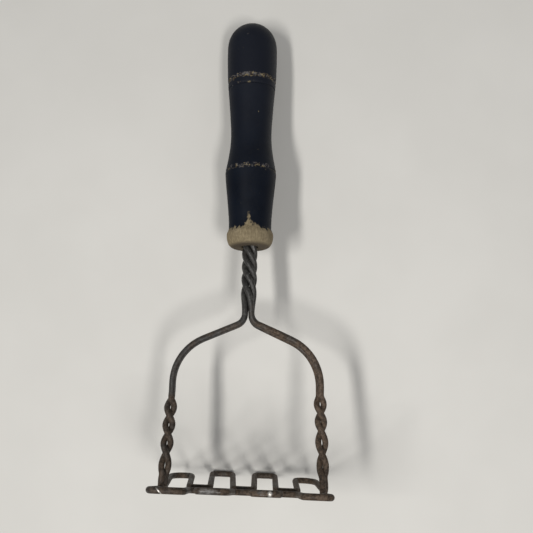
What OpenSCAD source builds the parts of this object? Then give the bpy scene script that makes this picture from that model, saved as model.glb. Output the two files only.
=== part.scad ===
// Twisted-wire potato masher with a turned wooden handle, lying at rest on its back.
// Two long wires make the whole frame: each runs from the handle down one arm, along its own
// side of the foot and up the other arm. Four strands twist together into the neck, two into
// each arm, and each wire bends its own row of loops to its own side of the foot.
//
// Every piece is drawn upright first: z runs along the handle's axis from the foot (z = 0) to
// the handle's top, x runs across the arms, and the front is towards -y. laid_down() then
// turns the finished tool into its resting pose, with +z up and +y towards the handle's top.

/* [Wire] */
// Diameter of the steel wire
wire_d = 3; // [2.8:0.05:3.05]
// Sides of the wire's faceted section
wire_sides = 10; // [8:1:12]
// Centreline radius of the foot's bends at the mid-line
bend_r = 2.6; // [2.2:0.1:3]
// Centreline radius of the bends at the loops' ends
far_bend_r = 3.3; // [2.6:0.1:3.4]
// Centreline radius of the soft outer bends, where the arms turn into the foot's back corners
soft_bend_r = 6.5; // [2.6:0.1:6.7]

/* [Neck] */
// Height of the handle's end face above the foot
neck_top = 119.2; // [115:0.1:126]
// Height at which the four strands start to twist
neck_twist_start = 84; // [82:0.5:90]
// Height over which the twist grows from nothing to its full rate
neck_soft = 18; // [4:1:24]
// Distance over which four strands make one turn
neck_lead = 26; // [24:0.5:30]
// Radius of the circle through the four strands' centres
neck_r = 2.45; // [2.4:0.01:2.5]
// Distance of the strands from the neck's middle plane where they close at the fork
closed_x = 1.6; // [1.56:0.01:1.7]
// Length of the twisted strands inside the handle
tang_len = 38; // [25:1:45]

/* [Shoulders and arms] */
// Height of the point where the neck divides
split_z = 81; // [78:0.5:84]
// Bend radius at the neck's division
split_r = 6; // [4:0.5:8]
// Height of the sharp corner that the rounded shoulder replaces
shoulder_z = 65.8; // [62:0.1:70]
// Half the width across the arms at the shoulder
shoulder_x = 36; // [34:0.1:40]
// Bend radius of the shoulder
shoulder_r = 24; // [18:0.5:28]
// Half the width across the arms at the foot
foot_x = 38.4; // [36:0.1:42]
// Distance of each strand from an arm's centreline where the two lie stacked
stack_r = 1.54; // [1.54:0.01:1.65]
// Distance of each strand from an arm's centreline in the twist
twist_r = 1.56; // [1.55:0.01:1.7]
// Extra distance where the left arm's twist opens into small eyes
left_eye = 0.12; // [0:0.01:0.3]
// Extra distance where the right arm's twist opens into two small eyes
right_eye = 0.18; // [0:0.01:0.3]
// Roll of the stacked pair over the right shoulder, in degrees
right_roll = 14; // [0:1:25]
// Angle by which the left arm's twist stops short of a full half turn at the foot, in degrees
left_short = 30; // [0:1:40]
// The same for the right arm
right_short = 28; // [0:1:40]

/* [Foot] */
// Depth of the two middle loops, from the mid-line to the bar's centre
inner_depth = 47.5; // [42:0.5:50]
// Depth of the two outer front loops
front_outer_depth = 41.5; // [36:0.5:44]
// Depth of the two outer rear loops
rear_outer_depth = 38; // [36:0.5:44]
// Rise of the middle loops' bars above the mid-line, where use has bent them up
inner_rise = 3.8; // [2:0.1:5]
// Rise of the outer loops' bars
outer_rise = 2.8; // [1:0.1:4]
// Half the height step between the two wires along the mid-line
mid_step = 0.55; // [0:0.05:0.8]
// Lean of the wire frame to the left, in degrees
frame_lean = 0.8; // [0:0.1:1.2]
// Height below which the frame leans
lean_z = 110; // [85:1:110]
// Extra slope of the foot, lower at the right, in degrees
foot_skew = 1.2; // [0:0.1:1.5]

/* [Handle] */
// Length of the handle
handle_len = 123.7; // [121:0.1:130]
// Radius of the blind bore that holds the four strands
bore_r = 4.1; // [4.05:0.01:4.4]
// Depth of the blind bore
bore_depth = 40; // [30:1:46]
// Largest radius of the bare bead at the handle's end
bead_r = 11.9; // [11:0.1:12.5]
// Depth of the turned ring grooves
groove_depth = 0.45; // [0.2:0.05:0.5]

/* [Hidden] */
wire_r = wire_d / 2;

// Left and right edge of each loop's end bar, left loop first: the loops are bent by hand
FRONT_LOOPS = [[-39.6, -24.5], [-19, -6], [4.5, 16], [26, 38.2]];
REAR_LOOPS = [[-38.7, -27.7], [-17.6, -6.7], [5, 16], [26.4, 37]];
// Heights at which each arm's two wires lie one behind the other, half a turn apart
LEFT_NODES = [42.3, 34, 25.5, 16.5, 6.5];
RIGHT_NODES = [45.3, 37.4, 29.1, 18.1, 8.2];
// Where the loops' legs meet the mid-line, from left to right
MID_LEGS = [-26, -16, -5, 5, 15.5, 26];

// Height along the handle and radius at each place that shapes its outline
LOWER_SWELL = [
    [9.7, 10.9], [13, 10.95], [17, 11.2], [25, 11.9], [33, 12.75], [37.6, 13.15], [39.4, 13.2]
];
WAIST = [
    [40.3, 13.1], [43.8, 12.45], [47, 11.85], [52.5, 11.05], [58, 10.65], [63.5, 10.68], [69.5, 11.05],
    [75, 11.45], [81, 11.95], [86.5, 12.45], [92.4, 12.9], [98, 13.1], [104.5, 13.28], [109.6, 13.25]
];
// Height and half width of each turned ring
GROOVES = [[39.9, 0.6], [85.6, 0.6], [89.7, 1]];
// The bare bead: height of its rounded edge, that edge's depth, and where the straight side ends
BEAD_EDGE = 5.6;
BEAD_ROUND = 3.4;
BEAD_SIDE = 6.3;
DOME_BASE = 109.6;
DOME_R = 13.25;
DOME_POWER = 2.1;

// ---------- vectors and curves ----------

function unit(v) = v / norm(v);
function ease(t) = let (u = min(max(t, 0), 1)) u * u * (3 - 2 * u);
function last(list) = list[len(list) - 1];
function reversed(list) = [for (i = [len(list) - 1 : -1 : 0]) list[i]];

// Arc of radius r that rounds the corner a-b-c, as n + 1 points
function fillet(a, b, c, r, n) =
    let (
        to_a = unit(a - b),
        to_c = unit(c - b),
        half = acos(to_a * to_c) / 2,
        centre = b + unit(to_a + to_c) * r / sin(half),
        first = b + to_a * r / tan(half) - centre,
        side = unit(cross(cross(first, b + to_c * r / tan(half) - centre), first)) * r,
        sweep = 180 - 2 * half
    )
    [for (i = [0 : n]) centre + first * cos(sweep * i / n) + side * sin(sweep * i / n)];

// Corners given as [point, radius]: the polyline through them with its inner corners rounded
function rounded(corners, steps) = [
    corners[0][0],
    for (i = [1 : len(corners) - 2])
        each fillet(corners[i - 1][0], corners[i][0], corners[i + 1][0], corners[i][1], steps),
    last(corners)[0]
];

// Smooth curve through stations [z, r], as [r, z] points about step apart
function slope(s, i) =
    let (a = max(i - 1, 0), b = min(i + 1, len(s) - 1)) (s[b][1] - s[a][1]) / (s[b][0] - s[a][0]);
function smooth(s, step) = [
    for (i = [0 : len(s) - 2])
        let (h = s[i + 1][0] - s[i][0], n = ceil(h / step))
        for (k = [0 : n - 1])
            let (t = k / n, u = 1 - t)
            [
                s[i][1] * u * u * (1 + 2 * t) + s[i + 1][1] * t * t * (1 + 2 * u)
                    + h * t * u * (slope(s, i) * u - slope(s, i + 1) * t),
                s[i][0] + h * t
            ],
    [last(s)[1], last(s)[0]]
];

// ---------- the wires' routes ----------

// The frame leans and its foot slopes a little, as a used tool's does
function bent(p) =
    let (
        below = max(lean_z - p[2], 0),
        share = min(max(split_z + 4 - p[2], 0) / split_z, 1)
    )
    [
        p[0] - below * tan(frame_lean),
        p[1],
        p[2] - p[0] * (tan(frame_lean) * min(below / 2, 1) + share * tan(foot_skew))
    ];

// Turn of the four strands at height z: none at the fork, then slowly more, then a steady
// left-handed twist
function neck_turn(z) =
    let (run = z - neck_twist_start)
    run <= 0 ? 0
        : 360 / neck_lead * (run < neck_soft ? run * run / (2 * neck_soft) : run - neck_soft / 2);

// One strand of the neck from its tang down to the start of its shoulder
function neck_strand(side, face) =
    let (
        top = neck_top + tang_len,
        start = atan2(face, side),
        bottom = split_z + 7.5,
        steps = 46,
        closed_r = closed_x * sqrt(2)
    )
    [for (i = [0 : steps])
        let (
            z = top - (top - bottom) * i / steps,
            a = start - neck_turn(z),
            r = closed_r + (neck_r - closed_r) * ease((z - split_z - 8) / 8)
        )
        [r * cos(a), r * sin(a), z]];

// Centreline of a shoulder and arm for the right side, as [x, z]
SIDE_LINE = let (n = closed_x, arm_top = [shoulder_x + 0.1, 0, 46])
    [for (p = rounded(
        [
            [[n, 0, split_z + 6.5], 0],
            [[n, 0, split_z], split_r],
            [[shoulder_x + 0.2, 0, shoulder_z], shoulder_r],
            [arm_top, 0]
        ], 9)) [p[0], p[2]]];
function arm_x(z) = shoulder_x + 0.1 + (foot_x - shoulder_x - 0.1) * (46 - z) / 46;

// Strand of a stacked pair: face is -1 for the front wire and 1 for the rear one
function shoulder_strand(side, face) =
    let (roll = side > 0 ? right_roll : 0, n = len(SIDE_LINE))
    [for (i = [0 : n - 1])
        let (
            ahead = SIDE_LINE[min(i + 1, n - 1)] - SIDE_LINE[max(i - 1, 0)],
            out = [-ahead[1], ahead[0]] / norm(ahead),
            down = (SIDE_LINE[0][1] - SIDE_LINE[i][1]) / (SIDE_LINE[0][1] - SIDE_LINE[n - 1][1]),
            turn = -face * roll * (ease(3 * down) + 0.35 * sin(180 * down)),
            x = side * (SIDE_LINE[i][0] + out[0] * stack_r * sin(turn)),
            y = face * stack_r * cos(turn),
            a = neck_turn(SIDE_LINE[i][1])
        )
        [
            x * cos(a) + y * sin(a),
            y * cos(a) - x * sin(a),
            SIDE_LINE[i][1] + out[1] * stack_r * sin(turn)
        ]];

// Strand of an arm's twist, from its top down: left-handed, so it runs down to the right in front
function arm_strand(side, face) =
    let (
        nodes = side > 0 ? RIGHT_NODES : LEFT_NODES,
        half_turns = len(nodes) - 1,
        roll = side > 0 ? right_roll : 0,
        short = side > 0 ? right_short : left_short
    )
    [for (i = [0 : 10 * half_turns])
        let (
            t = i / 10,
            n = min(floor(t), half_turns - 1),
            z = nodes[n] + (nodes[n + 1] - nodes[n]) * (t - n),
            a = face * 90 + 180 * t + roll * (1 - ease(t)) - short * ease(t - half_turns + 1),
            eye = side < 0 ? left_eye : n % 2 == 0 ? right_eye : 0,
            r = stack_r + (twist_r - stack_r) * ease(min(t, half_turns - t)) + eye * pow(sin(180 * t), 2)
        )
        [side * arm_x(z) + r * cos(a), r * sin(a), z]];

// One wire's row of loops between the two arms, as rounded corners
function foot_corners(face) =
    let (
        loops = face < 0 ? FRONT_LOOPS : REAR_LOOPS,
        outer_depth = face < 0 ? front_outer_depth : rear_outer_depth,
        mid_z = face * mid_step,
        mid_y = face * stack_r,
        left = [face * stack_r * sin(left_short) - foot_x, mid_y * cos(left_short)],
        right = [face * stack_r * sin(right_short) + foot_x, mid_y * cos(right_short)],
        legs = [left, for (x = MID_LEGS) [x, mid_y], right],
        arm_foot = bend_r + 1.5
    )
    [
        [[left[0], left[1], arm_foot], 0],
        for (i = [0 : 3])
            let (
                outer = i == 0 || i == 3,
                y = face * (outer ? outer_depth : inner_depth),
                z = mid_z + (outer ? outer_rise : inner_rise)
            )
            each [
                [[each legs[2 * i], mid_z], bend_r],
                [[loops[i][0], y, z], i == 0 && face > 0 ? soft_bend_r : far_bend_r],
                [[loops[i][1], y, z], i == 3 && face > 0 ? soft_bend_r : far_bend_r],
                [[each legs[2 * i + 1], mid_z], bend_r]
            ],
        [[right[0], right[1], arm_foot], 0]
    ];

// Whole route of one wire, tang to tang
function wire_route(face) = [for (p = concat(
    neck_strand(-1, face),
    shoulder_strand(-1, face),
    arm_strand(-1, face),
    rounded(foot_corners(face), 5),
    reversed(arm_strand(1, face)),
    reversed(shoulder_strand(1, face)),
    reversed(neck_strand(1, face))
)) bent(p)];

// ---------- sweeping a wire along its route ----------

function tangents(path) = [for (i = [0 : len(path) - 1])
    unit(unit(path[min(i + 1, len(path) - 1)] - path[max(i - 1, 0)]))];
function square_to(v, t) = unit(v - (v * t) * t);

// Ring normals that follow the route without spinning about it
function normals(t) = [
    for (i = 0, v = square_to([0, 1, 0.1], t[0]); i < len(t);
        i = i + 1, v = i < len(t) ? square_to(v, t[i]) : v) v
];
function tube_points(path) =
    let (t = tangents(path), n = normals(t))
    [for (i = [0 : len(path) - 1], k = [0 : wire_sides - 1])
        let (a = 360 * k / wire_sides)
        path[i] + wire_r * (n[i] * cos(a) + cross(t[i], n[i]) * sin(a))];
function tube_faces(rings) =
    let (m = wire_sides)
    concat(
        [[for (k = [m - 1 : -1 : 0]) k]],
        [for (i = [0 : rings - 2], k = [0 : m - 1])
            let (a = i * m + k, b = i * m + (k + 1) % m)
            each [[a, b, b + m], [a, b + m, a + m]]],
        [[for (k = [0 : m - 1]) (rings - 1) * m + k]]
    );

module wire(points) {
    polyhedron(points = points, faces = tube_faces(len(points) / wire_sides), convexity = 20);
}

// ---------- the handle's outline, as [radius, height above its end face] ----------

END_BEAD = [for (a = [0 : 15 : 90]) [
    bead_r - BEAD_ROUND + BEAD_ROUND * sin(a), BEAD_EDGE - BEAD_EDGE * cos(a)]];
BEAD_TO_NOTCH = [for (t = [1 / 5 : 1 / 5 : 4 / 5]) [
    bead_r + (LOWER_SWELL[0][1] - bead_r) * ease(t), BEAD_SIDE + (LOWER_SWELL[0][0] - BEAD_SIDE) * t]];
DOME = [for (a = [6 : 6 : 84]) [
    DOME_R * pow(cos(a), 2 / DOME_POWER),
    DOME_BASE + (handle_len - DOME_BASE) * pow(sin(a), 2 / DOME_POWER)
]];

// A ring's cut, as a share of its depth, u half widths from its middle
function ring_cut(u) = ease(1.15 - abs(u));
function swell_at(z) =
    lookup(z, [for (p = concat(smooth(LOWER_SWELL, 1.6), smooth(WAIST, 1.6))) [p[1], p[0]]]);
function ring(g) = [for (u = [-1.15, -0.65, -0.15, 0.15, 0.65, 1.15])
    let (z = g[0] + u * g[1]) [swell_at(z) - groove_depth * ring_cut(u), z]];
function near_ring(z) = min([for (g = GROOVES) abs(z - g[0]) / g[1]]) < 1.25;

SWELLS = concat(smooth(LOWER_SWELL, 2), smooth(WAIST, 2));
function between(low, high) = [for (p = SWELLS) if (p[1] > low && p[1] < high && !near_ring(p[1])) p];
BODY = concat(
    between(0, GROOVES[0][0]), ring(GROOVES[0]),
    between(GROOVES[0][0], GROOVES[1][0]), ring(GROOVES[1]),
    between(GROOVES[1][0], GROOVES[2][0]), ring(GROOVES[2]),
    between(GROOVES[2][0], handle_len)
);
HANDLE_OUTLINE = concat(
    [[0, 0]], END_BEAD, [[bead_r, BEAD_SIDE]], BEAD_TO_NOTCH, BODY, DOME, [[0, handle_len]]);

// ---------- the resting pose ----------

FRONT_POINTS = tube_points(wire_route(-1));
REAR_POINTS = tube_points(wire_route(1));
HANDLE_RIM = [for (p = HANDLE_OUTLINE) [p[0], p[1] + neck_top]];

// How far the foot and the handle reach below the axis when the tool lies tilted by b degrees
function handle_drop(b) = max([for (p = HANDLE_RIM) p[0] * cos(b) + p[1] * sin(b)]);
function foot_drop(b) = max([for (p = REAR_POINTS) p[1] * cos(b) + p[2] * sin(b)]);
function rest_tilt(low, high, n) =
    let (mid = (low + high) / 2)
    n == 0 ? mid
        : foot_drop(mid) > handle_drop(mid) ? rest_tilt(mid, high, n - 1) : rest_tilt(low, mid, n - 1);
TILT = rest_tilt(0, 30, 24);

function laid(p) = [p[0], p[2] * cos(TILT) - p[1] * sin(TILT), -p[1] * cos(TILT) - p[2] * sin(TILT)];
LAID = [
    for (p = concat(FRONT_POINTS, REAR_POINTS)) laid(p),
    for (p = HANDLE_RIM) each [laid([0, -p[0], p[1]]), laid([0, p[0], p[1]])]
];
function low(k) = min([for (p = LAID) p[k]]);
function high(k) = max([for (p = LAID) p[k]]);

module laid_down() {
    translate([-(low(0) + high(0)) / 2, -(low(1) + high(1)) / 2, -low(2)])
        rotate([-90 - TILT, 0, 0])
            children();
}

// ---------- the pieces ----------

// Turned wooden handle with a blind bore for the four strands
module handle() {
    color([0.12, 0.13, 0.15])
        laid_down()
            translate([0, 0, neck_top])
                difference() {
                    rotate_extrude($fn = 96)
                        polygon(HANDLE_OUTLINE);
                    translate([0, 0, -1])
                        cylinder(r = bore_r, h = bore_depth + 1, $fn = 48);
                }
}

// Wire with its loops to the front of the foot
module front_wire() {
    color([0.36, 0.32, 0.28])
        laid_down()
            wire(FRONT_POINTS);
}

// Wire with its loops to the rear of the foot
module rear_wire() {
    color([0.30, 0.28, 0.26])
        laid_down()
            wire(REAR_POINTS);
}

handle();
front_wire();
rear_wire();
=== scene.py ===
"""Twisted-wire potato masher with a turned, black-painted wooden handle, lying on its back.

Shapes are worked out upright, in millimetres: z along the handle's axis from the foot, x across
the arms, the front towards -y. laid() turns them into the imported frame's resting pose, in metres.
"""
import math

import bpy
import numpy as np
from mathutils import Matrix, Vector


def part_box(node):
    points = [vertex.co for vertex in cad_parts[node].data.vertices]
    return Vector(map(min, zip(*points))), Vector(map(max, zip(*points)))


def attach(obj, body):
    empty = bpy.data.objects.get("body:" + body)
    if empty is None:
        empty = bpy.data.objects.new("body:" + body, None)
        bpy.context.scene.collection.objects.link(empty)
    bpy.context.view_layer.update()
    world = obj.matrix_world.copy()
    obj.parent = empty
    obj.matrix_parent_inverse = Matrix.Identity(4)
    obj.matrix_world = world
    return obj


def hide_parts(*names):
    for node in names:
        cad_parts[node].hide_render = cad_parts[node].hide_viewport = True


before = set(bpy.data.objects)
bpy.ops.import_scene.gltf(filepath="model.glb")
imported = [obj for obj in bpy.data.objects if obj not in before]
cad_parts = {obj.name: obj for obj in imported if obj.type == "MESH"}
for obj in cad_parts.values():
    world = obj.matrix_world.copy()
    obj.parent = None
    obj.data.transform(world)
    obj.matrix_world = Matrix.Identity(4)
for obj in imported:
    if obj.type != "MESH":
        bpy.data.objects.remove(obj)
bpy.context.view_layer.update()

MM = 0.001

# ---------- dimensions of the tool, in millimetres and degrees ----------

WIRE_R = 1.5
# centreline radii of the foot's bends: at the mid-line, at the loops' ends, at the rear's outer corners
BEND_R, FAR_BEND_R, SOFT_BEND_R = 2.6, 3.3, 6.5

# heights of the handle's end face and of the twist's start, the rise it grows over, one turn's length
NECK_TOP, NECK_START, NECK_SOFT, NECK_LEAD = 119.2, 84.0, 18.0, 26.0
# the strands' distance from the neck's axis, and from its middle plane at the fork
NECK_R, CLOSED_X = 2.45, 1.6
TANG = 38.0  # length of the strands inside the handle

# the fork and its bends' radius, and the corner that each rounded shoulder replaces
SPLIT_Z, SPLIT_R = 81.0, 6.0
SHOULDER_Z, SHOULDER_X, SHOULDER_R = 65.8, 36.0, 24.0
# height of the arms' tops, and half the width across the arms there and at the foot
ARM_TOP, ARM_X, FOOT_X = 46.0, SHOULDER_X + 0.1, 38.4
# each strand's distance from an arm's middle, stacked and twisted, and what the twists' eyes add
STACK_R, TWIST_R, LEFT_EYE, RIGHT_EYE = 1.54, 1.56, 0.12, 0.18
# how far the right shoulder's pair is rolled, and how far each twist stops short of a half turn
RIGHT_ROLL, LEFT_SHORT, RIGHT_SHORT = 14.0, 30.0, 28.0
# heights at which an arm's two wires lie one behind the other
LEFT_NODES = [42.3, 34, 25.5, 16.5, 6.5]
RIGHT_NODES = [45.3, 37.4, 29.1, 18.1, 8.2]

# from the mid-line to the bars of the middle, the outer front and the outer rear loops
INNER_DEPTH, FRONT_DEPTH, REAR_DEPTH = 47.5, 41.5, 38.0
# how far use has bent the bars up, and half the step between the two wires at the mid-line
INNER_RISE, OUTER_RISE, MID_STEP = 3.8, 2.8, 0.55
# lean of the frame and the height below which it leans, and the extra slope of the foot
LEAN, LEAN_Z, SKEW = 0.8, 110.0, 1.2
# left and right edge of each loop's bar, and where the loops' legs meet the mid-line
FRONT_LOOPS = [[-39.6, -24.5], [-19, -6], [4.5, 16], [26, 38.2]]
REAR_LOOPS = [[-38.7, -27.7], [-17.6, -6.7], [5, 16], [26.4, 37]]
MID_LEGS = [-26, -16, -5, 5, 15.5, 26]

HANDLE_LEN, BORE_R, BORE_DEPTH, BORE_FLARE = 123.7, 4.1, 40.0, 0.7
# the bare bead: its radius, the height and depth of its rounded edge, the straight band above that
BEAD_R, BEAD_Z, EDGE_R, BEAD_BAND = 11.9, 5.6, 3.4, 0.7
# height along the handle and radius at each place that shapes its outline
LOWER_SWELL = [[9.7, 10.9], [13, 10.95], [17, 11.2], [25, 11.9], [33, 12.75], [37.6, 13.15], [39.4, 13.2]]
WAIST = [
    [40.3, 13.1], [43.8, 12.45], [47, 11.85], [52.5, 11.05], [58, 10.65], [63.5, 10.68], [69.5, 11.05],
    [75, 11.45], [81, 11.95], [86.5, 12.45], [92.4, 12.9], [98, 13.1], [104.5, 13.28], [109.6, 13.25],
]
GROOVES = [[39.9, 0.6], [85.6, 0.6], [89.7, 1.0]]  # height and half width
GROOVE_DEPTH = 0.45
DOME_BASE, DOME_R, DOME_POWER = 109.6, 13.25, 2.1


def ease(t):
    """Smooth step from 0 to 1 as t goes from 0 to 1."""
    t = np.clip(t, 0, 1)
    return t * t * (3 - 2 * t)


def tan(degrees):
    return math.tan(math.radians(degrees))


# ---------- the handle's outline ----------

def hermite(stations, step):
    """Smooth curve through [z, r] stations, as [z, r] rows about step apart."""
    s = np.array(stations, float)
    run, rise = (np.vstack([s[1:], s[-1:]]) - np.vstack([s[:1], s[:-1]])).T
    slopes = rise / run
    rows = []
    for i in range(len(s) - 1):
        h = s[i + 1, 0] - s[i, 0]
        for t in np.arange(0, 1, 1 / math.ceil(h / step)):
            u = 1 - t
            r = s[i, 1] * u * u * (1 + 2 * t) + s[i + 1, 1] * t * t * (1 + 2 * u)
            rows.append([s[i, 0] + h * t, r + h * t * u * (slopes[i] * u - slopes[i + 1] * t)])
    return rows + [list(s[-1])]


def handle_outline(step=0.5):
    """The handle's outer outline as [z above its end face, r], from the end face to the dome's tip."""
    rows = [[BEAD_Z - BEAD_Z * math.cos(a), BEAD_R - EDGE_R + EDGE_R * math.sin(a)]
            for a in np.radians(np.arange(0, 91, 5))]
    top = BEAD_Z + BEAD_BAND
    rows.append([top, BEAD_R])
    notch_z, notch_r = LOWER_SWELL[0]
    for t in np.arange(0.125, 1, 0.125):
        rows.append([top + (notch_z - top) * t, BEAD_R + (notch_r - BEAD_R) * float(ease(t))])
    body = np.array(hermite(LOWER_SWELL, step) + hermite(WAIST, step))
    across_grooves = [g + half * np.linspace(-1.2, 1.2, 13) for g, half in GROOVES]
    z = np.unique(np.concatenate([body[:, 0], *across_grooves]))
    r = np.interp(z, body[:, 0], body[:, 1])
    cut = np.max([ease(1.15 - np.abs(z - g) / half) for g, half in GROOVES], axis=0)
    rows += np.stack([z, r - GROOVE_DEPTH * cut], 1).tolist()
    for a in np.radians(np.arange(2, 90, 2)):
        rows.append([
            DOME_BASE + (HANDLE_LEN - DOME_BASE) * math.sin(a) ** (2 / DOME_POWER),
            DOME_R * math.cos(a) ** (2 / DOME_POWER),
        ])
    return np.array(rows)


# ---------- the wires' routes ----------

def unit(v):
    return v / np.linalg.norm(v)


def fillet(a, b, c, r, n=10):
    """Arc of radius r that rounds the corner a-b-c, in n steps."""
    to_a, to_c = unit(a - b), unit(c - b)
    half = math.acos(float(np.clip(to_a @ to_c, -1, 1))) / 2
    centre = b + unit(to_a + to_c) * r / math.sin(half)
    first = b + to_a * r / math.tan(half) - centre
    other = b + to_c * r / math.tan(half) - centre
    side = unit(np.cross(np.cross(first, other), first)) * r
    sweep = math.pi - 2 * half
    return [centre + first * math.cos(sweep * i / n) + side * math.sin(sweep * i / n) for i in range(n + 1)]


def rounded(corners):
    """The path through [point, radius] corners, each rounded by its radius."""
    points = [np.array(p, float) for p, _ in corners]
    out = [points[0]]
    for i in range(1, len(points) - 1):
        out += fillet(points[i - 1], points[i], points[i + 1], corners[i][1])
    return np.array(out + [points[-1]])


def bent(p):
    """The frame leans a little and its foot slopes, as a used tool's does."""
    below = np.maximum(LEAN_Z - p[:, 2], 0)
    share = np.clip((SPLIT_Z + 4 - p[:, 2]) / SPLIT_Z, 0, 1)
    slope = tan(LEAN) * np.minimum(below / 2, 1) + share * tan(SKEW)
    return np.stack([p[:, 0] - below * tan(LEAN), p[:, 1], p[:, 2] - p[:, 0] * slope], 1)


def neck_turn(z):
    """Turn of the four strands: none at the fork, then slowly more, then a steady left-handed twist."""
    run = np.maximum(z - NECK_START, 0)
    return 2 * math.pi / NECK_LEAD * np.where(
        run < NECK_SOFT, run * run / (2 * NECK_SOFT), run - NECK_SOFT / 2)


def neck_strand(side, face):
    """One of the neck's four strands, from its end in the handle down to the fork."""
    z = np.arange(NECK_TOP + TANG, SPLIT_Z + 7.4, -0.5)
    a = math.atan2(face, side) - neck_turn(z)
    closed = CLOSED_X * math.sqrt(2)
    r = closed + (NECK_R - closed) * ease((z - SPLIT_Z - 8) / 8)
    return np.stack([r * np.cos(a), r * np.sin(a), z], 1)


def side_line():
    """The middle of one side's two wires from the fork to the arm, as (x, z) rows."""
    corners = [
        [[CLOSED_X, 0, SPLIT_Z + 6.5], 0],
        [[CLOSED_X, 0, SPLIT_Z], SPLIT_R],
        [[SHOULDER_X + 0.2, 0, SHOULDER_Z], SHOULDER_R],
        [[ARM_X, 0, ARM_TOP], 0],
    ]
    return resampled(rounded(corners), 0.5)[:, [0, 2]]


def shoulder_strand(side, face):
    """One wire over a shoulder; the two lie face to face, rolled a little about their middle line."""
    line = side_line()
    ahead = np.gradient(line, axis=0)
    out = np.stack([-ahead[:, 1], ahead[:, 0]], 1) / np.linalg.norm(ahead, axis=1)[:, None]
    down = (line[0, 1] - line[:, 1]) / (line[0, 1] - line[-1, 1])
    roll = RIGHT_ROLL if side > 0 else 0
    turn = np.radians(-face * roll * (ease(3 * down) + 0.35 * np.sin(math.pi * down)))
    shift = STACK_R * np.sin(turn)
    x, y = side * (line[:, 0] + out[:, 0] * shift), face * STACK_R * np.cos(turn)
    c, s = np.cos(neck_turn(line[:, 1])), np.sin(neck_turn(line[:, 1]))
    return np.stack([x * c + y * s, y * c - x * s, line[:, 1] + out[:, 1] * shift], 1)


def arm_strand(side, face):
    """One wire down an arm's twist, half a turn between one node and the next."""
    nodes = RIGHT_NODES if side > 0 else LEFT_NODES
    t = np.arange(0, len(nodes) - 1 + 0.001, 0.04)
    n = np.minimum(np.floor(t), len(nodes) - 2)
    z = np.interp(t, range(len(nodes)), nodes)
    roll, short = (RIGHT_ROLL, RIGHT_SHORT) if side > 0 else (0, LEFT_SHORT)
    a = np.radians(face * 90 + 180 * t + roll * (1 - ease(t)) - short * ease(t - len(nodes) + 2))
    r = STACK_R + (TWIST_R - STACK_R) * ease(np.minimum(t, len(nodes) - 1 - t))
    eye = np.where(n % 2 == 0, RIGHT_EYE, 0) if side > 0 else LEFT_EYE
    r = r + eye * np.sin(math.pi * t) ** 2
    x = ARM_X + (FOOT_X - ARM_X) * (ARM_TOP - z) / ARM_TOP
    return np.stack([side * x + r * np.cos(a), r * np.sin(a), z], 1)


def foot_strand(face):
    """One wire across the foot, out and back through its four loops."""
    loops = FRONT_LOOPS if face < 0 else REAR_LOOPS
    # the arms' twists stop short of a full half turn, which sets their two wires a little apart in x
    aside = [face * STACK_R * math.sin(math.radians(short)) for short in (LEFT_SHORT, RIGHT_SHORT)]
    legs = [-FOOT_X + aside[0], *MID_LEGS, FOOT_X + aside[1]]
    mid_y, mid_z, top = face * STACK_R, face * MID_STEP, BEND_R + WIRE_R
    left_y, right_y = (mid_y * math.cos(math.radians(short)) for short in (LEFT_SHORT, RIGHT_SHORT))
    corners = [[[legs[0], left_y, top], 0]]
    for i, (left, right) in enumerate(loops):
        outer = i in (0, 3)
        y = face * ((FRONT_DEPTH if face < 0 else REAR_DEPTH) if outer else INNER_DEPTH)
        z = mid_z + (OUTER_RISE if outer else INNER_RISE)
        first, last = i == 0, i == 3
        corners += [
            [[legs[2 * i], left_y if first else mid_y, mid_z], BEND_R],
            [[left, y, z], SOFT_BEND_R if first and face > 0 else FAR_BEND_R],
            [[right, y, z], SOFT_BEND_R if last and face > 0 else FAR_BEND_R],
            [[legs[2 * i + 1], right_y if last else mid_y, mid_z], BEND_R],
        ]
    return rounded(corners + [[[legs[-1], right_y, top], 0]])


def resampled(path, step):
    """The path with its points evenly spaced, about step apart."""
    along = np.concatenate([[0], np.cumsum(np.linalg.norm(np.diff(path, axis=0), axis=1))])
    keep = np.concatenate([[True], np.diff(along) > 1e-6])
    at = np.linspace(0, along[-1], int(round(along[-1] / step)) + 1)
    return np.stack([np.interp(at, along[keep], path[keep, k]) for k in range(path.shape[1])], 1)


def smoothed(path, sigma):
    """The path with its small kinks eased, as drawn wire bends; sigma counts points."""
    reach = int(3 * sigma)
    weight = np.exp(-0.5 * (np.arange(-reach, reach + 1) / sigma) ** 2)
    weight /= weight.sum()
    padded = np.concatenate([
        2 * path[0] - path[reach:0:-1], path, 2 * path[-1] - path[-2:-reach - 2:-1],
    ])
    return np.stack([np.convolve(padded[:, k], weight, "valid") for k in range(3)], 1)


def wire_route(face, step=0.45, smoothing=1.3):
    """The whole centreline of the front (face -1) or rear (face 1) wire, from end to end."""
    parts = [
        neck_strand(-1, face), shoulder_strand(-1, face), arm_strand(-1, face), foot_strand(face),
        arm_strand(1, face)[::-1], shoulder_strand(1, face)[::-1], neck_strand(1, face)[::-1],
    ]
    return smoothed(resampled(bent(np.concatenate(parts)), step), smoothing)


# ---------- the resting pose ----------

OUTLINE = handle_outline()
ROUTES = {-1: wire_route(-1), 1: wire_route(1)}


def handle_drop(tilt):
    """How far the handle reaches below the upright origin once laid down by tilt."""
    z, r = OUTLINE[:, 0] + NECK_TOP, OUTLINE[:, 1]
    return float(np.max(r * math.cos(tilt) + z * math.sin(tilt)))


def foot_drop(tilt):
    """How far the rear loops reach below the upright origin once laid down by tilt."""
    return float(np.max(ROUTES[1][:, 1] * math.cos(tilt) + ROUTES[1][:, 2] * math.sin(tilt))) + WIRE_R


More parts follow.
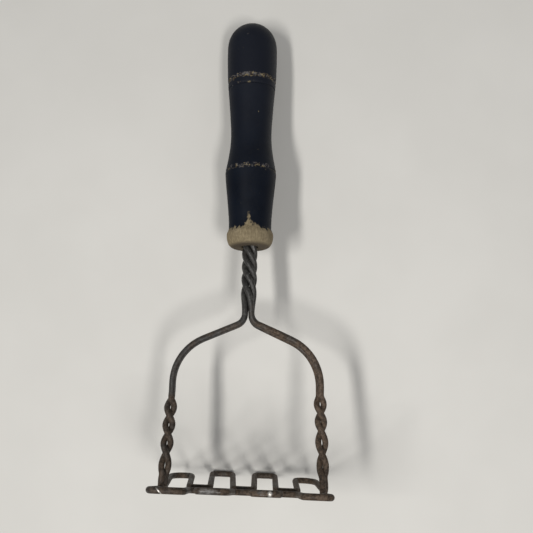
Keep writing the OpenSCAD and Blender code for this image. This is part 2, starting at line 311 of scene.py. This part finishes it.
def rest_tilt():
    """The tilt at which the foot and the handle both touch the floor."""
    low, high = 0.0, math.radians(30)
    for _ in range(30):
        mid = (low + high) / 2
        low, high = (mid, high) if foot_drop(mid) > handle_drop(mid) else (low, mid)
    return mid


TILT = rest_tilt()


def laid_raw(p):
    """Upright points or directions, turned to the resting pose but not yet moved to it."""
    p = np.asarray(p, float)
    c, s = math.cos(TILT), math.sin(TILT)
    return np.stack([p[..., 0], p[..., 2] * c - p[..., 1] * s, -p[..., 1] * c - p[..., 2] * s], -1)


def frame_shift():
    """What moves laid_raw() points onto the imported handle."""
    low, high = (np.array(corner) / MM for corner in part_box("handle"))
    z, r = OUTLINE[:, 0] + NECK_TOP, OUTLINE[:, 1]
    far = float(np.max(z * math.cos(TILT) + r * math.sin(TILT)))
    return np.array([(low[0] + high[0]) / 2, high[1] - far, low[2] + handle_drop(TILT)])


SHIFT = frame_shift()


def laid(p):
    """Upright points in millimetres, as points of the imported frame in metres."""
    return (laid_raw(p) + SHIFT) * MM


# ---------- meshes ----------

def mesh_object(name, points, faces, uvs=None, values=None):
    """A smooth-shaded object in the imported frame, with a UV row per corner and named point values."""
    mesh = bpy.data.meshes.new(name)
    mesh.from_pydata(laid(points).tolist(), [], faces)
    mesh.polygons.foreach_set("use_smooth", [True] * len(mesh.polygons))
    if uvs is not None:
        layer = mesh.uv_layers.new(name="UVMap")
        layer.data.foreach_set("uv", np.asarray(uvs, float).ravel())
    for key, value in (values or {}).items():
        layer = mesh.attributes.new(key, "FLOAT", "POINT")
        layer.data.foreach_set("value", np.asarray(value, float))
    mesh.validate()
    mesh.update()
    obj = bpy.data.objects.new(name, mesh)
    bpy.context.scene.collection.objects.link(obj)
    return obj


def rings_round(path, sides):
    """Unit directions round each point of a path, in frames that don't spin about it."""
    tangent = np.gradient(path, axis=0)
    tangent /= np.linalg.norm(tangent, axis=1)[:, None]
    normal = np.empty_like(path)
    v = np.array([0, 1, 0.1])
    for i, t in enumerate(tangent):
        v = v - (v @ t) * t
        v /= np.linalg.norm(v)
        normal[i] = v
    binormal = np.cross(tangent, normal)
    a = 2 * math.pi * np.arange(sides) / sides
    return normal[:, None] * np.cos(a)[None, :, None] + binormal[:, None] * np.sin(a)[None, :, None]


def grid_faces(along, round_):
    """Quads and their UVs between rings of points, with one UV value per ring and per side."""
    faces, uvs = [], []
    sides = len(round_) - 1
    for i in range(len(along) - 1):
        for k in range(sides):
            j = (k + 1) % sides
            faces.append([i * sides + k, i * sides + j, (i + 1) * sides + j, (i + 1) * sides + k])
            uvs += [[along[i], round_[k]], [along[i], round_[k + 1]],
                    [along[i + 1], round_[k + 1]], [along[i + 1], round_[k]]]
    return faces, uvs


def tube(name, path, radius, sides, values):
    """Sweeps a round section along a path and closes both ends. Its UVs are in decimetres.

    values(path, ring) gives the named values, one per path point or one per path point and side.
    """
    ring = rings_round(path, sides)
    points = path[:, None] + ring * np.asarray(radius)[:, None, None]
    n = len(path)
    along = np.concatenate([[0], np.cumsum(np.linalg.norm(np.diff(path, axis=0), axis=1))])
    faces, uvs = grid_faces(along, 2 * math.pi * WIRE_R * np.arange(sides + 1) / sides)
    points = points.reshape(-1, 3)
    caps = []
    for row, flip in ((0, True), (n - 1, False)):
        caps.append(len(points) + len(caps))
        for k in range(sides):
            j = (k + 1) % sides
            face = [row * sides + k, row * sides + j, caps[-1]]
            faces.append(face if not flip else face[::-1])
            uvs += [[along[row], 0]] * 3
    points = np.concatenate([points, path[[0, -1]]])
    values = {key: np.concatenate([np.repeat(value, sides) if value.ndim == 1 else value.ravel(), [0, 0]])
              for key, value in values(path, ring).items()}
    return mesh_object(name, points, faces, np.array(uvs) / 100, values)


def wavy(count, spacing, seed, strength):
    """Slow random variation of a given strength, with one free value every spacing steps."""
    rng = np.random.default_rng(seed)
    knots = rng.standard_normal(count // spacing + 4)
    at = np.arange(count) / spacing + 1
    i = np.floor(at).astype(int)
    t = ease(at - i)
    return strength * (knots[i] * (1 - t) + knots[i + 1] * t)


# ---------- materials ----------

class Graph:
    """A material's nodes, built by short calls that return output sockets."""

    def __init__(self, name):
        self.material = bpy.data.materials.new(name)
        self.material.use_nodes = True
        self.nodes = self.material.node_tree.nodes
        self.links = self.material.node_tree.links
        self.shader = self.nodes["Principled BSDF"]

    def put(self, socket, value):
        if isinstance(value, bpy.types.NodeSocket):
            self.links.new(value, socket)
        elif value is not None:
            if socket.type == "RGBA" and len(value) == 3:
                value = (*value, 1)
            socket.default_value = value

    def node(self, kind, inputs, output=0, **settings):
        node = self.nodes.new("ShaderNode" + kind)
        for key, value in settings.items():
            setattr(node, key, value)
        for key, value in inputs.items():
            self.put(node.inputs[key], value)
        return node.outputs[output]

    def set(self, **values):
        for key, value in values.items():
            self.put(self.shader.inputs[key.replace("_", " ")], value)

    def value(self, name):
        return self.node("Attribute", {}, "Fac", attribute_name=name)

    def place(self, stretch=(1, 1, 1), output="Object"):
        source = self.node("TexCoord", {}, output)
        return self.node("Mapping", {"Vector": source, "Scale": stretch})

    def noise(self, place, scale, detail=4.0, roughness=0.55):
        return self.node("TexNoise", {
            "Vector": place, "Scale": scale, "Detail": detail, "Roughness": roughness, "Distortion": 0.0,
        }, "Fac")

    def math(self, operation, a, b=None, c=None):
        return self.node("Math", {0: a, 1: b, 2: c}, operation=operation)

    def times(self, a, b):
        return self.math("MULTIPLY", a, b)

    def scaled(self, value, factor, offset):
        return self.math("MULTIPLY_ADD", value, factor, offset)

    def jittered(self, value, noise, reach):
        """The value plus noise that runs from -reach to reach."""
        return self.math("ADD", value, self.scaled(noise, 2 * reach, -reach))

    def ramp(self, value, low, high, to_low=0.0, to_high=1.0):
        return self.node("MapRange", {
            "Value": value, "From Min": low, "From Max": high, "To Min": to_low, "To Max": to_high,
        }, interpolation_type="SMOOTHSTEP")

    def mix(self, share, a, b):
        # the node's colours are its inputs 6 and 7 and its output 2
        return self.node("Mix", {0: share, 6: a, 7: b}, 2, data_type="RGBA")

    def bump(self, height, strength, distance, normal=None):
        return self.node("Bump", {
            "Height": height, "Strength": strength, "Distance": distance, "Normal": normal,
        })


OXIDE, RUST = (0.032, 0.0315, 0.0295), (0.115, 0.081, 0.057)
PITS, DARKER_TONE = (0.017, 0.0145, 0.0125), (0.012, 0.011, 0.0105)
PALE_OXIDE, PALE_RUST, DRAWN_LINE = (0.105, 0.102, 0.093), (0.138, 0.108, 0.085), (0.12, 0.11, 0.1)
# the polished colour is bare steel, and at a few spots a painted highlight
SCUFF, DARK_SCUFF, POLISHED_AND_HIGHLIGHT = (0.21, 0.205, 0.2), (0.08, 0.075, 0.071), (0.72, 0.68, 0.63)


def wire_material():
    """Old steel wire: dark oxide, brown rust film, drawing lines along it and bright worn places, a few of
    them painted highlights.

    The wires carry what varies from place to place: "brown" for rust, "darkening" for darker
    stretches and "wear" for wear and painted highlights.
    """
    g = Graph("aged_steel_wire")
    place, along = g.place(), g.place(stretch=(1.2, 14, 1), output="UV")
    patches = g.noise(place, 160, 3)
    grain = g.noise(place, 1400, 4, 0.65)
    lines = g.noise(along, 16, 4, 0.6)
    mottle = g.noise(place, 640, 5, 0.75)
    # the film that covers most of it
    rust = g.ramp(g.math("ADD", g.value("brown"), g.ramp(patches, 0.3, 0.7, -0.42, 0.42)), 0, 1)
    film = g.mix(rust, OXIDE, RUST)
    film = g.mix(g.ramp(mottle, 0.42, 0.6, 0, 0.72), film, PITS)
    film = g.mix(g.ramp(mottle, 0.5, 0.36, 0, 0.5), film, g.mix(rust, PALE_OXIDE, PALE_RUST))
    streak = g.times(g.ramp(lines, 0.5, 0.75), g.ramp(patches, 0.35, 0.6))
    film = g.mix(g.times(streak, 0.45), film, DRAWN_LINE)
    # darker on the left and in the foot, except on the rear loops
    film = g.mix(g.value("darkening"), film, DARKER_TONE)
    # where it is worn through: dull scuffs, and bright metal at the most worn spots; at a few spots these
    # are painted highlights
    wear = g.value("wear")
    worn = g.ramp(g.jittered(g.jittered(wear, lines, 0.45), grain, 0.25), 0.26, 0.56)
    worn = g.times(worn, g.ramp(wear, 0.02, 0.3))
    polish = g.ramp(wear, 0.5, 0.8)
    scuffed = g.mix(g.ramp(mottle, 0.4, 0.62), SCUFF, DARK_SCUFF)
    g.set(Base_Color=g.mix(worn, film, g.mix(polish, scuffed, POLISHED_AND_HIGHLIGHT)))
    g.set(Metallic=g.scaled(g.times(worn, polish), 0.68, 0.12))
    rough = g.scaled(rust, 0.1, g.ramp(grain, 0.3, 0.7, 0.4, 0.54))
    g.set(Roughness=g.scaled(worn, -0.12, rough))
    g.set(Specular_IOR_Level=g.scaled(rust, -0.36, 0.5))
    g.set(Normal=g.bump(g.scaled(mottle, -0.8, g.scaled(lines, 0.4, grain)), 0.6, 0.0002))
    return g.material


WOOD_DARK, WOOD_LIGHT, WOOD_GREY = (0.2, 0.158, 0.096), (0.3, 0.245, 0.152), (0.25, 0.21, 0.15)
PORES, GRIME_AND_SHADE, WOOD_DIRT = (0.05, 0.035, 0.022), (0.088, 0.07, 0.052), (0.13, 0.105, 0.065)
PAINT_DARK, PAINT_LIGHT = (0.0035, 0.0052, 0.0098), (0.006, 0.0088, 0.0158)
PAINT_DUST, PAINT_SHEEN_TINT = (0.011, 0.012, 0.0145), (0.0135, 0.0155, 0.0235)
FLECK_GREY, FLECK_TAN, FLECK_BROWN = (0.1, 0.095, 0.096), (0.21, 0.17, 0.1), (0.03, 0.024, 0.022)


def handle_material():
    """Satin black paint over turned wood, worn through at the bead, at the rings and in small chips.

    The handle carries what varies from place to place: "paint_edge", the height above the paint's
    lower edge in millimetres, "ring_wear", "grime_and_shade" for dirt and painted shade,
    "painted_top_sheen" for a painted sheen towards the dome, and "sheen".
    """
    g = Graph("painted_wood")
    place = g.place()
    fibres = g.noise(g.place(stretch=(9, 1, 9)), 190, 5, 0.6)
    fine = g.noise(place, 900, 4, 0.6)
    broad = g.noise(place, 55, 3)
    # bare wood
    wood = g.mix(g.ramp(fibres, 0.3, 0.72), WOOD_DARK, WOOD_LIGHT)
    wood = g.mix(g.ramp(broad, 0.35, 0.7, 0, 0.4), wood, WOOD_GREY)
    pores = g.ramp(g.noise(g.place(stretch=(22, 1.6, 22)), 160, 2), 0.66, 0.74)
    wood = g.mix(g.times(pores, 0.5), wood, PORES)
    # dirt and painted shade on the end face and round the bore, painted shade inside the bore
    wood = g.mix(g.value("grime_and_shade"), wood, GRIME_AND_SHADE)
    # paint
    paint = g.mix(g.ramp(broad, 0.3, 0.7), PAINT_DARK, PAINT_LIGHT)
    paint = g.mix(g.times(g.ramp(fine, 0.45, 0.75), 0.4), paint, PAINT_DUST)
    # painted sheen: the paint lighter and bluer towards the dome
    paint = g.mix(g.times(g.value("painted_top_sheen"), 0.6), paint, PAINT_SHEEN_TINT)
    # how much of it is left
    edge = g.jittered(g.value("paint_edge"), fibres, 1.3)
    above_edge = g.ramp(g.jittered(edge, g.noise(place, 480, 4, 0.75), 2.5), -0.35, 0.5)
    flecks = g.noise(g.place(stretch=(1, 0.7, 1)), 820, 3, 0.7)
    ring = g.ramp(g.jittered(g.value("ring_wear"), flecks, 1.8), 0.8, 1.05)
    chips = g.ramp(g.noise(place, 260, 2, 0.5), 0.795, 0.81)
    covered = g.times(g.math("SUBTRACT", 1.0, ring), above_edge)
    covered = g.times(covered, g.math("SUBTRACT", 1.0, chips))
    # what shows where it is gone: dirty wood below, mixed flecks in the rings
    bare = g.mix(g.times(g.ramp(g.noise(place, 700, 2), 0.35, 0.65), 0.4), wood, WOOD_DIRT)
    tint = g.mix(g.ramp(g.noise(place, 420, 1), 0.47, 0.56), FLECK_GREY, FLECK_TAN)
    tint = g.mix(g.ramp(g.noise(place, 1000, 1), 0.42, 0.54), FLECK_BROWN, tint)
    bare = g.mix(g.ramp(g.value("ring_wear"), 0.05, 0.2), bare, tint)
    g.set(Base_Color=g.mix(covered, bare, paint))
    g.set(Roughness=g.mix(covered, (0.78,) * 3, g.ramp(fine, 0.3, 0.7, 0.44, 0.56)))
    g.set(Specular_IOR_Level=g.times(g.value("sheen"), 0.16))
    normal = g.bump(g.math("ADD", g.times(covered, 0.6), g.times(fibres, 0.35)), 0.5, 0.00012)
    g.set(Normal=g.bump(fine, 0.12, 0.00008, normal))
    return g.material


def floor_material():
    g = Graph("pale_floor")
    clouds = g.ramp(g.noise(g.place(), 14, 3), 0.3, 0.7)
    g.set(Base_Color=g.mix(clouds, (0.71, 0.695, 0.66), (0.74, 0.725, 0.69)))
    g.set(Roughness=0.85)
    return g.material


# ---------- the pieces ----------

def wear_and_highlights_near(p, spots):
    """Bright wear and painted highlights: each spot is (x, y, z, reach along x, slant, strength)."""
    total = np.zeros(p.shape[:-1])
    for x, y, z, reach, slant, strength in spots:
        along = p[..., 0] - x - slant * (p[..., 2] - z)
        d = (along / reach) ** 2 + ((p[..., 1] - y) / 3) ** 2 + ((p[..., 2] - z) / 3) ** 2
        total = np.maximum(total, strength * np.exp(-d))
    return total


def rust_along(x, z):
    """Rusty foot, greyer up to the neck; more on the right, and one grey stretch on the left arm."""
    brown = np.interp(z, [-5, 10, 45, 60, 76, 90], [0.85, 0.85, 0.76, 0.5, 0.3, -0.2])
    brown = brown - 0.45 * ease((-20 - x) / 8) * ease((z - 43) / 4) * ease((64 - z) / 10)
    uneven = np.where(x > 0, 0.42, 0.12) * np.tanh(x / 12)
    return brown + uneven * ease((90 - z) / 10) * (1 - 0.4 * ease((45 - z) / 20))


def darkening_along(x, y, z):
    """A little darker on the left and in the foot, but not on the rear loops."""
    darkening = np.maximum(0.3 * ease((6 - x) / 30) * ease((84 - z) / 14), 0.12 * ease((20 - z) / 10))
    return darkening * (1 - ease((y - 30) / 12))


def wire_piece(face, name, spots):
    """The front (face -1) or rear (face 1) wire, with bright wear and painted highlights at its spots."""
    def values(path, ring):
        x, y, z = path.T
        facing_up = ring @ np.array([0, -1.0, -0.16])  # about the resting pose's up
        wear = wear_and_highlights_near(path[:, None] + ring * WIRE_R, spots) * ease((facing_up + 0.1) / 0.9)
        return {"wear": wear, "brown": rust_along(x, z), "darkening": darkening_along(x, y, z)}

    path = ROUTES[face]
    radius = WIRE_R * (1 + wavy(len(path), 24, 5 + face, 0.006))
    obj = tube("drawn_" + name, path, radius, 22, values)
    obj.data.materials.append(STEEL)
    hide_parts(name)
    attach(obj, "root")


def bump_at(turn, at, width):
    """A bell curve over the turn: 1 in its middle and nearly 0 two widths away."""
    return np.exp(-((turn - at) / width) ** 2)


def above_paint_edge(turn, z):
    """Height above the paint's ragged lower edge, with drips and one worn tongue at the front."""
    sides = turn.shape[1]
    ragged = wavy(sides * 2, 7, 3, 0.45)[:sides]
    # none where the last side meets the first
    ragged = ragged * ease(np.minimum(np.arange(sides), sides - np.arange(sides)) / 6)
    tongue = 3.8 * bump_at(turn, -0.08, 0.12) + 1.3 * bump_at(turn, 0.06, 0.24)
    drips = sum(length * bump_at(turn, at, 0.04)
                for at, length in ((-0.86, 2.6), (-0.62, 2.2), (-0.4, 0.9), (0.55, 1.2), (0.82, 2.4)))
    height = z - (8.5 + ragged[None] + tongue - drips)
    return height * (1 - 0.72 * bump_at(turn, -0.04, 0.24))


def wear_on_handle(turn, r, z):
    """Worn paint along the three rings, most at the front, and three small chips."""
    rings = ((40.1, 0.92, 1.8), (85.6, 0.54, 1.1), (89.7, 1.2, 1.5))  # height, strength, half width
    wear = np.max([strength * np.exp(-((z - height) / half) ** 4)
                   for height, strength, half in rings], axis=0)
    wear = wear * (0.72 + 0.28 * np.cos(turn - 0.1)) * ease((r - 8) / 2)
    for height, at in ((112.4, -0.17), (104.8, -0.33), (69.5, 0.35)):
        wear = wear + 1.15 * np.exp(-((z - height) / 0.7) ** 2 - ((turn - at) / 0.055) ** 2)
    return wear


def grime_and_shade_on_handle(r, z):
    """Dirt and painted shade on the end face and round its bore, painted shade all through the bore."""
    grime_and_shade = np.clip(0.25 + 0.9 * ease((1.5 - z) / 2) - 0.5 * ease((r - 9) / 3), 0, 1) * (z < 9)
    return np.maximum(grime_and_shade, (r <= BORE_R + 0.1) * 0.9)


def sheen_on_handle(turn, z):
    """Duller where a hand rubs, along the left flank and at the lower end."""
    sheen = 1 - 0.6 * ease((-turn - 0.25) / 0.6) * ease((2.4 + turn) / 0.8)
    return sheen * (0.68 + 0.32 * ease((z - 28) / 22))


def handle_rows():
    """The whole section from the bore's end, round the end face and up to the dome's tip, as [z, r]."""
    bore = [[BORE_DEPTH, 0.001], [BORE_DEPTH, BORE_R * 0.6], [BORE_DEPTH, BORE_R]]
    bore += [[z, BORE_R] for z in (30, 20, 12, 8, 5, 3, 1.6, 0.8)]
    bore += [[0.3, BORE_R + 0.05], [0.05, BORE_R + 0.3], [0, BORE_R + BORE_FLARE]]
    face = [[0, r] for r in np.arange(BORE_R + 1.1, BEAD_R - EDGE_R - 0.2, 0.45)]
    return np.array(bore + face + handle_outline(0.4).tolist() + [[HANDLE_LEN, 0.001]])


def handle_piece(sides=160):
    rows = handle_rows()
    row_z, row_r = rows[:, :1], rows[:, 1:]
    a = 2 * math.pi * np.arange(sides)[None] / sides
    z = np.repeat(row_z, sides, 1)
    # hand-turned: slow waves of a few hundredths of a millimetre, none inside the bore
    waves = 0.035 * np.sin(2 * a + z / 17 + 0.6) + 0.02 * np.sin(3 * a - z / 9 + 2)
    r = row_r + waves * ease((row_r - BORE_R - 1) / 2) * ease((row_z + 0.2) / 2)
    points = np.stack([r * np.sin(a), -r * np.cos(a), z + NECK_TOP], -1)
    turn = (a + math.pi) % (2 * math.pi) - math.pi  # 0 faces the front
    n = len(rows)
    faces, uvs = grid_faces(np.arange(n) / n, np.arange(sides + 1) / sides)
    values = {
        "paint_edge": above_paint_edge(turn, z),
        "ring_wear": wear_on_handle(turn, r, z),
        "grime_and_shade": grime_and_shade_on_handle(r, z),
        # painted sheen, growing towards the dome
        "painted_top_sheen": ease((z - 25) / 80),
        "sheen": sheen_on_handle(turn, z),
    }
    values = {key: value.ravel() for key, value in values.items()}
    obj = mesh_object("turned_handle", points.reshape(-1, 3), faces, np.array(uvs)[:, ::-1], values)
    obj.data.materials.append(WOOD)
    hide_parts("handle")
    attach(obj, "root")


# on the middle loops' bars, as a slanting streak on the left loop's bar, and where the neck meets the
# handle;
# the small bright spot on the third loop's bar, the slanting streak and the spot at the neck are painted
# highlights, the rest is wear
FRONT_WEAR_AND_HIGHLIGHTS = [
    (-15.5, -49, 3.3, 6.0, 0, 0.52),
    (10.3, -49, 3.3, 1.1, 0, 0.85),
    (6.5, -49, 3.3, 3.5, 0, 0.4),
    (16, -49, 3.3, 1.6, 0, 0.4),
    (-35.9, -43, 2.6, 0.5, -0.85, 1.0),
    (2.2, -4, 118.4, 1.0, 0, 0.55),
]
STEEL = wire_material()
WOOD = handle_material()
handle_piece()
wire_piece(-1, "front_wire", FRONT_WEAR_AND_HIGHLIGHTS)
wire_piece(1, "rear_wire", [])

# ---------- floor, lights and camera ----------

floor_mesh = bpy.data.meshes.new("floor")
floor_mesh.from_pydata([(-3, -3, 0), (3, -3, 0), (3, 3, 0), (-3, 3, 0)], [], [(0, 1, 2, 3)])
floor = bpy.data.objects.new("floor", floor_mesh)
bpy.context.scene.collection.objects.link(floor)
floor.data.materials.append(floor_material())


def strip_light(name, place, aim, width, length, watts, colour):
    """A soft box whose long side runs along Y, as far as its aim allows. Lengths are in metres."""
    lamp = bpy.data.lights.new(name, "AREA")
    lamp.shape, lamp.size, lamp.size_y, lamp.energy, lamp.color = "RECTANGLE", width, length, watts, colour
    obj = bpy.data.objects.new(name, lamp)
    back = (Vector(place) - Vector(aim)).normalized()
    across = Vector((0, 1, 0)).cross(back).normalized()
    turned = Matrix((across, back.cross(across), back)).transposed()
    obj.matrix_world = Matrix.Translation(place) @ turned.to_4x4()
    bpy.context.scene.collection.objects.link(obj)


strip_light("key_left", (-0.36, -0.14, 0.74), (0, -0.14, 0.6), 0.1, 0.36, 4.85, (1.0, 0.985, 0.955))
strip_light("fill_right", (0.24, -0.33, 0.95), (0, -0.03, 0.03), 0.16, 0.32, 3.5, (1.0, 0.985, 0.96))

world = bpy.data.worlds.new("studio")
world.use_nodes = True
world.node_tree.nodes["Background"].inputs["Color"].default_value = (0.93, 0.96, 1.0, 1)
world.node_tree.nodes["Background"].inputs["Strength"].default_value = 0.18
bpy.context.scene.world = world

# Camera, placed in the upright tool's axes: where it stands, the way it looks and its up side
CAMERA_AT = (4.76, -367.19, 30.69)
CAMERA_AHEAD = (0.0102, 0.9777, 0.2096)
CAMERA_UP = (-0.0105, -0.2095, 0.9778)
bpy.context.scene.view_settings.view_transform = "Standard"
camera = bpy.data.objects.new("camera", bpy.data.cameras.new("camera"))
camera.data.lens, camera.data.sensor_width = 50, 36
ahead = Vector(laid_raw(CAMERA_AHEAD)).normalized()
right = ahead.cross(Vector(laid_raw(CAMERA_UP))).normalized()
turned = Matrix((right, right.cross(ahead), -ahead)).transposed()
camera.matrix_world = Matrix.Translation(Vector(laid(CAMERA_AT))) @ turned.to_4x4()
camera.data.clip_start, camera.data.clip_end = 0.01, 50
bpy.context.scene.collection.objects.link(camera)
bpy.context.scene.camera = camera
